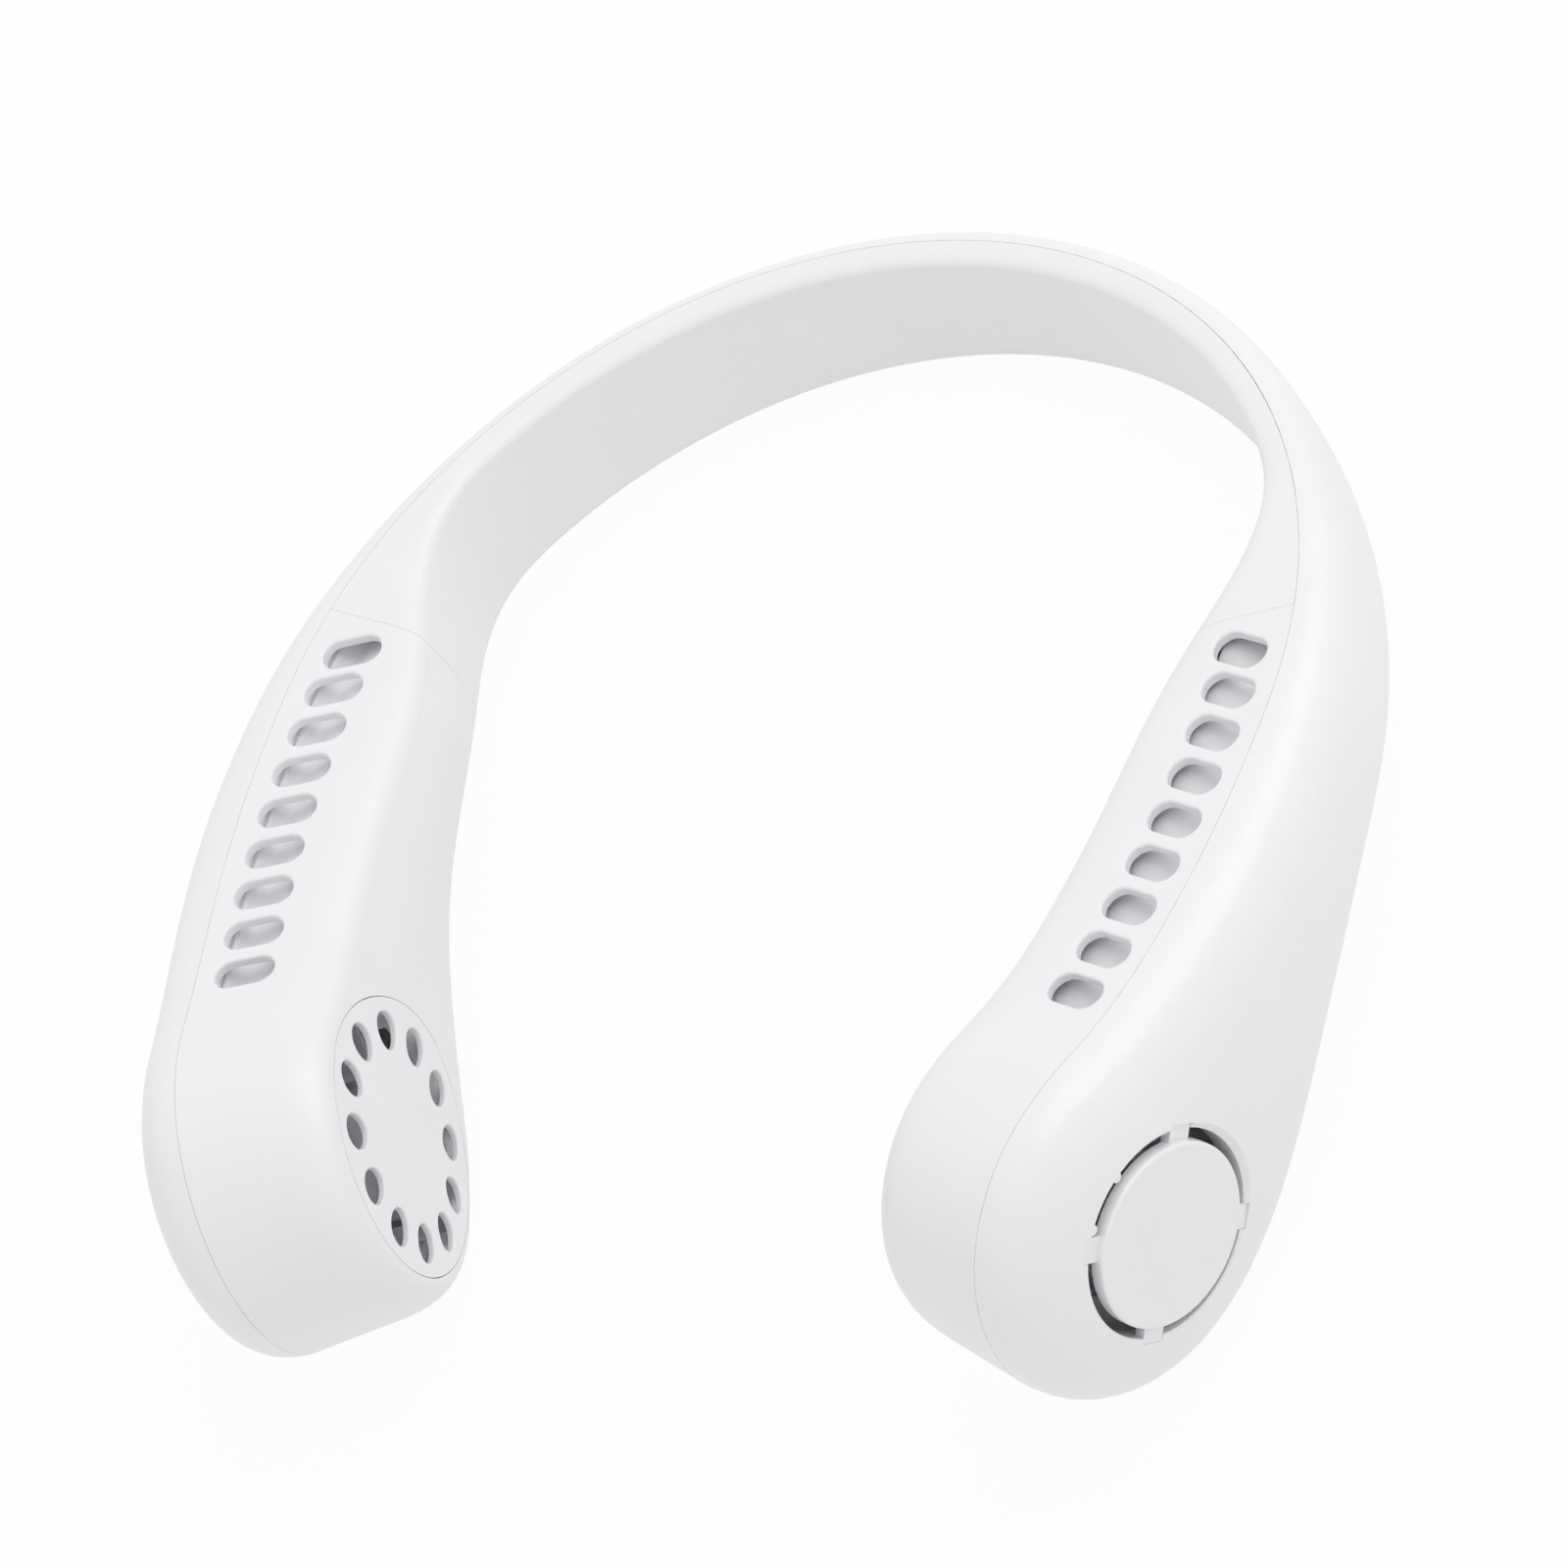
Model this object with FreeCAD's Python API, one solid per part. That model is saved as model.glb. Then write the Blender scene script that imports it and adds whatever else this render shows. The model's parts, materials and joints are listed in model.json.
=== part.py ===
# Electric neck fan: two blower arms joined by a band, each piece as it comes apart on a bench.
# The model is built about the disc centres (X right, Y towards the band, Z up), as the right arm
# with its mirror image, and is then laid down as it rests on a table.
import FreeCAD, Part
import math
import os

from FreeCAD import Vector

# Plan of the parting line, seen from above
DISC_RADIUS = 27.0           # round end of an arm, at the parting line
ARM_LENGTH = 72.0            # disc centre to the widest point, along the parting line
ARM_TURN = 19.6              # degrees that an arm turns inwards
BAND_RADIUS = 84.6           # half circle of the band, at the parting line

# Section of the sweep, at the disc and at the band
BAND_TOP = 24.3              # top edge of the band above the disc centres
BAND_HEIGHT = 24.0
ARM_INNER_DEPTH = 24.0       # parting line to the inner face
ARM_OUTER_DEPTH = 11.6       # parting line to the outer face
BAND_INNER_DEPTH = 4.2
BAND_OUTER_DEPTH = 4.3
ARM_CORNER = 4.9             # height of the rounding from the edge to the inner face
BAND_CORNER = 2.0
CORNER_REACH_SHARE = 1.7     # its depth over its height
ARM_CROWN = 1.0              # rise of the inner face over its rim
BAND_CROWN = 0.3
EDGE_DRAFT_SHARE = 0.09      # fall of the edge over its depth, towards the inner face

# How far along the path each size keeps its value at the disc
TOP_SPREAD = 15.0
BOTTOM_SPREAD = 42.0
INNER_SPREAD = 100.0
OUTER_SPREAD = 90.0
EDGE_FADE_POWER = 2
OUTER_FADE_POWER = 4
INNER_FADE_POWER = 8
LOFT_DEGREE = 3
BAND_START = 135.0           # from here on the section stays the same
STATION_SHARES = (0, 0.07, 0.14, 0.22, 0.31, 0.40, 0.49, 0.57, 0.65, 0.73, 0.81, 0.90, 1, 1.11, 1.22, 1.33)

# Squareness of the section's corners: share of each side that the curve's handle takes
CORNER_SHARE = 0.62
OUTER_WIDTH_SHARE = 0.62
OUTER_HEIGHT_SHARE = 0.80
HALF_SHARE = 0.5

# Shell and seams
WALL = 1.6
SEAM_GAP = 0.08              # visible groove between the halves
FIT_GAP = 0.15               # play between pieces that seat in each other
SEAT_GAP = 0.05              # between faces that lie on each other
LIP_WALL = 0.8               # lip behind the seam that centres the halves, with its play
LIP_ROOT = 0.9               # how far it runs along the wall that carries it
LIP_REACH = 0.9              # and into the other half
LINER_OFFSET = 16.0          # widest point to where the band liner meets the inner housing

# Air slots on the top edge of each inner housing
SLOT_COUNT = 9
SLOT_FIRST = 19.1            # along the path
SLOT_PITCH = 7.78
SLOT_LENGTH = 9.4
SLOT_WIDTH = 5.1
SLOT_OFFSET = 7.6            # slot centre inwards from the parting line
SLOT_HEADING = 18.0          # degrees that a slot's inner end runs back, alike for all
SLOT_RIM = 0.45              # rounding of a slot's outer edge

# Intake grille in the inner face, held by snap legs behind a ledge of the housing
GRILLE_MARGIN = 5.8          # from the edge of the disc
GRILLE_THICKNESS = 1.7       # at its rim
GRILLE_WALL = 1.0            # inside its rim
LEDGE_WIDTH = 1.0
LEDGE_ROOT = 2.4             # how far the ledge runs into the wall
LEDGE_THICKNESS = 1.2
LEG_COUNT = 3
LEG_FIRST = 15.0             # degrees, between two petals
LEG_WALL = 1.0
LEG_WIDTH = 3.0
LEG_BARB = 0.5
LEG_BARB_HEIGHT = 0.8
PETAL_COUNT = 12
PETAL_FIRST = 2.0            # degrees from the arm's axis
PETAL_MARGIN = 5.2           # from the edge of the grille to the petal centres
PETAL_LENGTH = 5.9
PETAL_WEB = 3.1              # between two petals where they are widest
PETAL_WIDEST_SHARE = 0.55    # of its length, from the inner end
PETAL_ROUND_SHARE = 0.55     # of each quarter that its curve's handle takes
PETAL_RIM = 0.35             # rounding of a petal's outer edge

# Cap and ring-shaped intake in the outer face
RING_MARGIN = 11.7           # from the edge of the disc to the ring-shaped gap
RING_GAP = 1.7               # between the shell and the cap
RING_DISH_WIDTH = 1.9
RING_DISH_DEPTH = 1.35       # crown of the outer face to the ring's edge
CAP_THICKNESS = 2.2
CAP_EDGE = 0.5
CAP_DROP = 0.15              # cap top below the crown of the outer face
COLLAR_WALL = 1.4
COLLAR_DEPTH = 5.0           # below the crown of the outer face
SPOKE_COUNT = 4
SPOKE_FIRST = 45.0           # degrees from the arm's axis
SPOKE_WIDTH = 3.8
SPOKE_THICKNESS = 1.6
SPOKE_SEAT = 0.8             # how far a spoke enters the collar
SPOKE_ROOT = 3.0             # and the underside of the cap
LUG_ANGLES = (94.0, 124.0)   # the two snap lugs in the gap, degrees from the arm's axis
LUG_RADIUS = 0.8

# Duct plate between the air side and the electric side
PLATE_THICKNESS = 1.2
PLATE_OFFSET = -1.0          # its outer face from the parting line
PLATE_MARGIN = 0.6           # from its end to the end of the housing
PLATE_HOLE_MARGIN = 2.2      # from its hole to the ring of screws
CORE_GAP = 0.3               # play of the inner pieces in the shell

# Motor, its bush and its bracket
MOTOR_RADIUS = 8.0
MOTOR_FRONT = -3.6           # along the disc axis, towards the impeller
MOTOR_BACK = 5.6
MOTOR_EDGE = 0.8
BUSH_RADIUS = 2.4
BUSH_LENGTH = 3.4
BUSH_NOSE = 0.6              # stands out of the can
SHAFT_RADIUS = 1.0
SHAFT_TAIL = 6.0             # its length inside the can
SHAFT_ROOM = 0.4             # round its tail
RUNNING_GAP = 0.03
BRACKET_RING_WALL = 1.4
BRACKET_RING_HEIGHT = 2.6
BRACKET_THICKNESS = 1.2
BRACKET_ARMS = 3
BRACKET_FIRST = 60.0         # degrees from the arm's axis
BRACKET_ARM_WIDTH = 3.0
BRACKET_PAD_RADIUS = 2.3
SCREW_REACH = 7.2            # from the side of the motor to its ring of screws
SCREW_RADIUS = 0.75
SCREW_HEAD_RADIUS = 1.5
SCREW_HEAD_HEIGHT = 0.9
SCREW_SOCKET_RADIUS = 0.6
SCREW_SOCKET_DEPTH = 0.5
BOSS_RADIUS = 2.0
BOSS_HEIGHT = 0.9

# Impeller: a double-inlet blower wheel, its web half-way between two rims
WHEEL_ROOM = 4.9             # between the wheel and the wall round it
BLADE_DEPTH = 7.1            # from the wheel's rim inwards
WHEEL_BACK = -5.0            # along the disc axis
WHEEL_FRONT = -17.5
WEB_THICKNESS = 1.2
WEB_OVERLAP = 1.4            # of the web under the blades
RIM_WALL = 1.6
RIM_HEIGHT = 1.2
BLADE_COUNT = 18
BLADE_WALL = 0.8
BLADE_SWEEP = 24.0           # degrees that a blade's tip leads its root
BLADE_BOW_SHARE = 0.3        # share of that sweep at half its length
HUB_RADIUS = 2.8
HUB_LENGTH = 7.0

# Battery cell, flat on its pad against the duct plate
CELL_SETBACK = 13.0          # its middle, from the widest point towards the disc
CELL_LENGTH = 33.0
CELL_HEIGHT = 16.0
CELL_THICKNESS = 4.6
CELL_ROUND = 1.2
TAB_LENGTH = 3.0
TAB_HEIGHT = 10.0
TAB_THICKNESS = 2.4
PAD_THICKNESS = 0.6
PAD_MARGIN = 2.0

# Control board in the left arm, square to the lower edge at the charge socket
PORT_PLACE = 37.0            # along the path
BOARD_LENGTH = 20.0
BOARD_WIDTH = 16.6
BOARD_THICKNESS = 1.0
BOARD_LIFT = 1.6             # above the duct plate
BOARD_SHIFT = 1.0            # of its middle, along the lower edge
BOARD_SCREW_MARGIN = 2.2
CHIP_SIDE = 3.6
CHIP_HEIGHT = 0.9
SOCKET_WIDTH = 8.9
SOCKET_HEIGHT = 3.2
SOCKET_LENGTH = 7.3
SOCKET_WALL = 0.3
SOCKET_TONGUE_WIDTH = 6.7
SOCKET_TONGUE = 0.7
SOCKET_TONGUE_INSET = 0.8
SOCKET_RECESS = 1.0          # mouth inside the lower edge
PORT_GAP = 0.25

# Power button, its switch and the indicator, in the board's own axes
KEY_ACROSS = 1.0
KEY_UP = 12.0
SWITCH_SIDE = 6.0
SWITCH_HEIGHT = 3.4
WELL_ROOM = 0.4              # under the pressed plunger
PLUNGER_RADIUS = 1.7
PLUNGER_RISE = 1.4
PLUNGER_DEPTH = 0.8          # inside the switch
BUTTON_RADIUS = 5.0
BUTTON_FLANGE = 1.2
BUTTON_STEM = 0.9            # plunger to the flange
BUTTON_RISE = 0.5            # above the outer face
BUTTON_TRAVEL = 0.4
BUTTON_GAP = 0.15
LAMP_ACROSS = -7.0
LENS_RADIUS = 1.0
LED_SIDE = 1.6
LED_HEIGHT = 0.6

# Leads
CABLE_RADIUS = 1.1
CABLE_OUT = 1.2              # from the parting line
LEAD_RADIUS = 0.6
MOTOR_LEAD_HEIGHT = 5.0      # above the disc centre
CELL_LEAD_HEIGHT = 7.0
LEAD_REACH = 3.0             # under the edge of the board

OVERRUN = 5.0                # how far cutting shapes pass what they cut
TOUCH = 0.001                # distance at which shapes count as touching

TURN = math.radians(ARM_TURN)
ARM_RADIUS = ARM_LENGTH / TURN
BAND_CENTRE = ARM_RADIUS * math.sin(TURN)
HALF_PATH = ARM_LENGTH + BAND_RADIUS * math.pi / 2
BAND_BOTTOM = BAND_TOP - BAND_HEIGHT
NOSE_REACH = DISC_RADIUS + OVERRUN
INNER_REACH = ARM_INNER_DEPTH + OVERRUN
OUTER_REACH = ARM_OUTER_DEPTH + OVERRUN
LINER_START = ARM_LENGTH + LINER_OFFSET
PLATE_END = LINER_START - PLATE_MARGIN
CELL_PLACE = ARM_LENGTH - CELL_SETBACK
GRILLE_RADIUS = DISC_RADIUS - GRILLE_MARGIN
PETAL_RING = GRILLE_RADIUS - PETAL_MARGIN
PETAL_START = PETAL_RING - PETAL_LENGTH / 2
PETAL_WIDEST = PETAL_START + PETAL_LENGTH * PETAL_WIDEST_SHARE
PETAL_WIDTH = 2 * PETAL_WIDEST * math.sin(math.pi / PETAL_COUNT) - PETAL_WEB
RING_RADIUS = DISC_RADIUS - RING_MARGIN
CAP_RADIUS = RING_RADIUS - RING_GAP
WHEEL_RADIUS = DISC_RADIUS - WALL - WHEEL_ROOM
WHEEL_INNER_RADIUS = WHEEL_RADIUS - BLADE_DEPTH
SCREW_RING = MOTOR_RADIUS + SCREW_REACH
PLATE_HOLE_RADIUS = SCREW_RING - PLATE_HOLE_MARGIN
GRILLE_SEAT = GRILLE_THICKNESS + ARM_CROWN - ARM_INNER_DEPTH
RING_EDGE = ARM_OUTER_DEPTH - RING_DISH_DEPTH
BRACKET_BASE = PLATE_OFFSET + BOSS_HEIGHT
BRACKET_TOP = BRACKET_BASE + BRACKET_THICKNESS
BOARD_INSET = WALL + LIP_WALL + CORE_GAP
BOARD_BACK = PLATE_OFFSET + BOARD_LIFT
BOARD_FRONT = BOARD_BACK + BOARD_THICKNESS
SWITCH_TOP = BOARD_FRONT + SWITCH_HEIGHT
PLUNGER_TOP = SWITCH_TOP + PLUNGER_RISE
FLANGE_BACK = PLUNGER_TOP + BUTTON_STEM
CELL_BACK = PLATE_OFFSET + PAD_THICKNESS
UP = Vector(0, 0, 1)
ORIGIN = Vector(0, 0, 0)
MIRROR_NORMAL = Vector(1, 0, 0)


def frame_at(place):
    """Point, tangent and outward normal of the parting line at a distance from the disc centre."""
    if place < 0:
        point, tangent, normal = frame_at(0)
        return point + tangent * place, tangent, normal
    if place <= ARM_LENGTH:
        angle = TURN * (place / ARM_LENGTH - 1)
        centre = Vector(BAND_RADIUS - ARM_RADIUS, BAND_CENTRE, 0)
        radius = ARM_RADIUS
    else:
        angle = (place - ARM_LENGTH) / BAND_RADIUS
        centre = Vector(0, BAND_CENTRE, 0)
        radius = BAND_RADIUS
    normal = Vector(math.cos(angle), math.sin(angle), 0)
    return centre + normal * radius, Vector(-normal.y, normal.x, 0), normal


def spot(place, out, height):
    """Point at a distance along the path, outwards from it, and up."""
    point, tangent, normal = frame_at(place)
    return point + normal * out + UP * height


def fade(place, spread, power):
    """1 at the disc, falling smoothly to 0 along the path."""
    return math.exp(-((max(place, 0) / spread) ** power))


def between(at_band, at_disc, share):
    return at_band + (at_disc - at_band) * share


def top_edge(place):
    return between(BAND_TOP, DISC_RADIUS, fade(place, TOP_SPREAD, EDGE_FADE_POWER))


def bottom_edge(place):
    return between(BAND_BOTTOM, -DISC_RADIUS, fade(place, BOTTOM_SPREAD, EDGE_FADE_POWER))


def inner_depth(place):
    return between(BAND_INNER_DEPTH, ARM_INNER_DEPTH, fade(place, INNER_SPREAD, INNER_FADE_POWER))


def outer_depth(place):
    return between(BAND_OUTER_DEPTH, ARM_OUTER_DEPTH, fade(place, OUTER_SPREAD, OUTER_FADE_POWER))


def outer_quarter(place, depth, edge, middle):
    """A quarter of the section outside the parting line: one soft curve from the edge to the face."""
    curve = Part.BezierCurve()
    curve.setPoles([
        spot(place, 0, edge),
        spot(place, depth * OUTER_WIDTH_SHARE, edge),
        spot(place, depth, between(middle, edge, OUTER_HEIGHT_SHARE)),
        spot(place, depth, middle),
    ])
    return [curve.toShape()]


def inner_quarter(place, depth, edge, middle, inset):
    """A quarter of the section inside the parting line: drafted edge, round corner, crowned face."""
    share = fade(place, INNER_SPREAD, INNER_FADE_POWER)
    corner = between(BAND_CORNER, ARM_CORNER, share) - inset / 2
    reach = corner * CORNER_REACH_SHARE
    crown = between(BAND_CROWN, ARM_CROWN, share)
    sign = math.copysign(1, edge - middle)
    flat = depth - crown - reach
    shoulder = edge - sign * flat * EDGE_DRAFT_SHARE
    rim = shoulder - sign * corner
    handle = reach * CORNER_SHARE
    edge_line = Part.LineSegment(spot(place, 0, edge), spot(place, -flat, shoulder))
    bend = Part.BezierCurve()
    bend.setPoles([
        spot(place, -flat, shoulder),
        spot(place, -flat - handle, shoulder - sign * handle * EDGE_DRAFT_SHARE),
        spot(place, crown - depth, rim + sign * corner * CORNER_SHARE),
        spot(place, crown - depth, rim),
    ])
    face = Part.BezierCurve()
    face.setPoles([
        spot(place, crown - depth, rim),
        spot(place, -depth, between(middle, rim, HALF_SHARE)),
        spot(place, -depth, middle),
    ])
    return [edge_line.toShape(), bend.toShape(), face.toShape()]


def half_section(place, inset, edge, middle):
    """The upper or lower half of the section, from the outer face round to the inner face."""
    outer = outer_quarter(place, outer_depth(place) - inset, edge, middle)
    return outer + inner_quarter(place, inner_depth(place) - inset, edge, middle, inset)


def section_edges(place, inset):
    top = top_edge(place) - inset
    bottom = bottom_edge(place) + inset
    middle = (top + bottom) / 2
    return half_section(place, inset, top, middle), half_section(place, inset, bottom, middle)


def sweep(inset):
    """The right half of the fan as one solid, inset from its outer surface: nose, arm and band."""
    wires = []
    for share in STATION_SHARES:
        upper, lower = section_edges(share * BAND_START, inset)
        wires.append(Part.Wire(Part.__sortEdges__(upper + lower)))
    loft = Part.makeLoft(wires, True, False, False, LOFT_DEGREE)
    arm = loft.common(tall_strip(-NOSE_REACH, BAND_START, -INNER_REACH, OUTER_REACH))
    upper, lower = section_edges(0, inset)
    centre, tangent, normal = frame_at(0)
    outer_face = centre + normal * (outer_depth(0) - inset)
    inner_face = centre - normal * (inner_depth(0) - inset)
    axis_edge = Part.LineSegment(outer_face, inner_face).toShape()
    profile = Part.Face(Part.Wire(Part.__sortEdges__(upper + [axis_edge])))
    nose = profile.revolve(centre, normal, 180)
    upper, lower = section_edges(BAND_START, inset)
    band_profile = Part.Face(Part.Wire(Part.__sortEdges__(upper + lower)))
    band_turn = math.degrees((HALF_PATH - BAND_START) / BAND_RADIUS)
    band = band_profile.revolve(Vector(0, BAND_CENTRE, 0), UP, band_turn)
    return arm.fuse([nose, band])


def run_edges(start, end, out):
    """Edges of the path between two places, moved outwards."""
    stops = [start] + [stop for stop in (0, ARM_LENGTH) if start < stop < end] + [end]
    edges = []
    for first, last in zip(stops, stops[1:]):
        points = [spot(place, out, 0) for place in (first, (first + last) / 2, last)]
        if last <= 0:
            edges.append(Part.LineSegment(points[0], points[2]).toShape())
        else:
            edges.append(Part.Arc(*points).toShape())
    return edges


def strip(start, end, inner, outer, bottom, top):
    """An upright slab that follows the path between two places."""
    edges = run_edges(start, end, outer) + run_edges(start, end, inner)
    for place in (start, end):
        edges.append(Part.LineSegment(spot(place, inner, 0), spot(place, outer, 0)).toShape())
    face = Part.Face(Part.Wire(Part.__sortEdges__(edges)))
    face.translate(UP * bottom)
    return face.extrude(UP * (top - bottom))


def tall_strip(start, end, inner, outer):
    return strip(start, end, inner, outer, -NOSE_REACH, NOSE_REACH)


def standing(shape, place, out, height):
    """Move a shape from its own axes (X along the arm, Y up, Z outwards) to a place on the arm."""
    point, tangent, normal = frame_at(place)
    turned = FreeCAD.Rotation(tangent, UP, normal, "ZXY")
    moved = shape.copy()
    moved.Placement = FreeCAD.Placement(spot(place, out, height), turned) * shape.Placement
    return moved


def on_disc(shape):
    return standing(shape, 0, 0, 0)


def tube(outer, inner, bottom, top):
    """A ring on the Z axis."""
    ring = Part.makeCylinder(outer, top - bottom, Vector(0, 0, bottom))
    return ring.cut(Part.makeCylinder(inner, top - bottom + 2 * OVERRUN, Vector(0, 0, bottom - OVERRUN)))


def rod(radius, bottom, top, x=0, y=0):
    return Part.makeCylinder(radius, top - bottom, Vector(x, y, bottom))


def block(x_size, y_size, bottom, top, x=0, y=0):
    """A box centred on X and Y."""
    return Part.makeBox(x_size, y_size, top - bottom, Vector(x - x_size / 2, y - y_size / 2, bottom))


def stadium(length, width, bottom, top):
    """A slot-shaped prism along X, centred."""
    half = (length - width) / 2
    body = block(2 * half, width, bottom, top)
    ends = [rod(width / 2, bottom, top, -half), rod(width / 2, bottom, top, half)]
    return body.fuse(ends).removeSplitter()


def spun(shape, angle):
    turned = shape.copy()
    turned.rotate(ORIGIN, UP, angle)
    return turned


def ring_of(shape, count, first=0):
    return [spun(shape, first + 360.0 * step / count) for step in range(count)]


def mirrored(shape):
    return shape.mirror(ORIGIN, MIRROR_NORMAL)


def rim_edges(cut, cutter, way, level):
    """Edges that a cutter leaves beyond a level along a direction, but for those that run that way."""
    rims = []
    for edge in cut.Edges:
        start, end = edge.FirstParameter, edge.LastParameter
        middle = edge.valueAt((start + end) / 2)
        across = abs((edge.valueAt(end) - edge.valueAt(start)).dot(way)) < edge.Length / 2
        near = cutter.BoundBox.isInside(middle) and middle.dot(way) > level
        if near and across and cutter.isInside(middle, TOUCH, True):
            rims.append(edge)
    return rims


def slotted(side):
    """Cut the air slots, slanted alike, into the top edge, and round their outer edges."""
    cutters = {}
    for number in range(SLOT_COUNT):
        place = SLOT_FIRST + number * SLOT_PITCH
        top = top_edge(place)
        cutter = stadium(SLOT_LENGTH, SLOT_WIDTH, top - WALL - OVERRUN, top + OVERRUN)
        cutter.rotate(ORIGIN, UP, -SLOT_HEADING)
        cutter.translate(spot(place, -SLOT_OFFSET, 0))
        cutters[top - WALL] = cutter
    cut = side.cut(list(cutters.values()))
    rims = [edge for level, cutter in cutters.items() for edge in rim_edges(cut, cutter, UP, level)]
    return cut.makeFillet(SLOT_RIM, rims)


def petals():
    """Cutters of the petal holes: an egg outline, widest a little outside its middle."""
    quarters = []
    for tip in (PETAL_START, PETAL_START + PETAL_LENGTH):
        for side in (-PETAL_WIDTH / 2, PETAL_WIDTH / 2):
            quarter = Part.BezierCurve()
            quarter.setPoles([
                Vector(tip, 0, 0),
                Vector(tip, side * PETAL_ROUND_SHARE, 0),
                Vector(between(PETAL_WIDEST, tip, PETAL_ROUND_SHARE), side, 0),
                Vector(PETAL_WIDEST, side, 0),
            ])
            quarters.append(quarter.toShape())
    outline = Part.Wire(Part.__sortEdges__(quarters))
    petal = Part.Face(outline).extrude(UP * -INNER_REACH)
    return [on_disc(copy) for copy in ring_of(petal, PETAL_COUNT, PETAL_FIRST)]


def edge_slope():
    """Degrees that the lower edge of the arm climbs at the charge socket."""
    rise = bottom_edge(PORT_PLACE + OVERRUN) - bottom_edge(PORT_PLACE - OVERRUN)
    return math.degrees(math.atan2(rise, 2 * OVERRUN))


def on_board(shape, across=0, up=0):
    """Move a shape from the board's axes (X along the lower edge, Y away from it, Z outwards)."""
    moved = shape.copy()
    moved.translate(Vector(across, up, 0))
    moved.rotate(ORIGIN, UP, edge_slope())
    return standing(moved, PORT_PLACE, 0, bottom_edge(PORT_PLACE))


def lying(shape):
    """Turn a prism that stands on Z so that it runs along Y."""
    shape.rotate(ORIGIN, Vector(1, 0, 0), -90)
    return shape


def both_halves(right, left):
    return right.fuse(mirrored(left))


def outer_half(full, hollow):
    """One half of the outer shell, with the ring-shaped intake in its disc."""
    half = hollow.cut(tall_strip(-NOSE_REACH, HALF_PATH + OVERRUN, -INNER_REACH, SEAM_GAP))
    collar_end = ARM_OUTER_DEPTH - COLLAR_DEPTH
    collar = tube(RING_RADIUS + COLLAR_WALL, RING_RADIUS, collar_end, ARM_OUTER_DEPTH)
    half = half.fuse(on_disc(collar).common(full))
    hole = rod(RING_RADIUS, collar_end - OVERRUN, OUTER_REACH)
    dish_radius = RING_RADIUS + RING_DISH_WIDTH
    dish = Part.makeCone(RING_RADIUS, dish_radius, RING_DISH_DEPTH, Vector(0, 0, RING_EDGE))
    seat_length = SPOKE_SEAT + SPOKE_ROOT
    seat_middle = RING_RADIUS + SPOKE_SEAT - seat_length / 2
    seat_width = SPOKE_WIDTH + 2 * SEAT_GAP
    seat = block(seat_length, seat_width, RING_EDGE - SPOKE_THICKNESS, OUTER_REACH, seat_middle)
    cutters = [hole, dish] + ring_of(seat, SPOKE_COUNT, SPOKE_FIRST)
    half = half.cut([on_disc(cutter) for cutter in cutters])
    lug = rod(LUG_RADIUS, collar_end, RING_EDGE, RING_RADIUS)
    return half.fuse([on_disc(spun(lug, angle)) for angle in LUG_ANGLES])


def control_cutters():
    """Openings of the left arm: button, indicator and charge socket."""
    key = rod(BUTTON_RADIUS + BUTTON_GAP, FLANGE_BACK, OUTER_REACH)
    lamp = rod(LENS_RADIUS + FIT_GAP, BOARD_FRONT, OUTER_REACH)
    port = socket_prism(2 * PORT_GAP, -OVERRUN, BOARD_INSET + OVERRUN)
    return [on_board(key, KEY_ACROSS, KEY_UP), on_board(lamp, LAMP_ACROSS, KEY_UP), on_board(port)]


def outer_cap():
    """Plain round cap with four spokes that seat in the collar."""
    top = ARM_OUTER_DEPTH - CAP_DROP
    disc = rod(CAP_RADIUS, top - CAP_THICKNESS, top)
    rim = [edge for edge in disc.Edges if edge.BoundBox.ZMin > top - CAP_EDGE]
    disc = disc.makeFillet(CAP_EDGE, rim)
    reach = RING_RADIUS + SPOKE_SEAT - SEAT_GAP
    length = reach - CAP_RADIUS + SPOKE_ROOT
    spoke = block(length, SPOKE_WIDTH, RING_EDGE - SPOKE_THICKNESS, RING_EDGE, reach - length / 2)
    return on_disc(disc.fuse(ring_of(spoke, SPOKE_COUNT, SPOKE_FIRST)))


def seam_lip():
    """Lip along the whole seam: rooted in the inner wall, with play inside the outer one."""
    inside = sweep(WALL + LIP_WALL)
    path_end = HALF_PATH + OVERRUN
    root = sweep(WALL / 2).cut(inside).common(tall_strip(-NOSE_REACH, path_end, -LIP_ROOT, 0))
    reach = tall_strip(-NOSE_REACH, path_end, -LIP_ROOT, LIP_REACH)
    return root.fuse(sweep(WALL + FIT_GAP).cut(inside).common(reach))


def inner_housing(full, hollow, lip):
    """Inner half of an arm, with its lip, the air slots and the ledge that the grille rests on."""
    side = slotted(hollow.common(tall_strip(-NOSE_REACH, LINER_START, -INNER_REACH, 0)))
    hole = on_disc(rod(GRILLE_RADIUS, -INNER_REACH, GRILLE_SEAT))
    ledge_end = GRILLE_SEAT + LEDGE_THICKNESS
    ledge = tube(GRILLE_RADIUS + LEDGE_ROOT, GRILLE_RADIUS - LEDGE_WIDTH, GRILLE_SEAT, ledge_end)
    own_lip = lip.common(tall_strip(-NOSE_REACH, LINER_START, -INNER_REACH, OUTER_REACH))
    return side.cut(hole).fuse([on_disc(ledge).common(full), own_lip])


def neck_band_liner(hollow, lip):
    """Inner half of the band, with its lip."""
    start = LINER_START + SEAT_GAP
    half = hollow.common(tall_strip(start, HALF_PATH + OVERRUN, -INNER_REACH, 0))
    half = half.fuse(lip.common(tall_strip(start, HALF_PATH + OVERRUN, -INNER_REACH, OUTER_REACH)))
    return both_halves(half, half)


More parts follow.
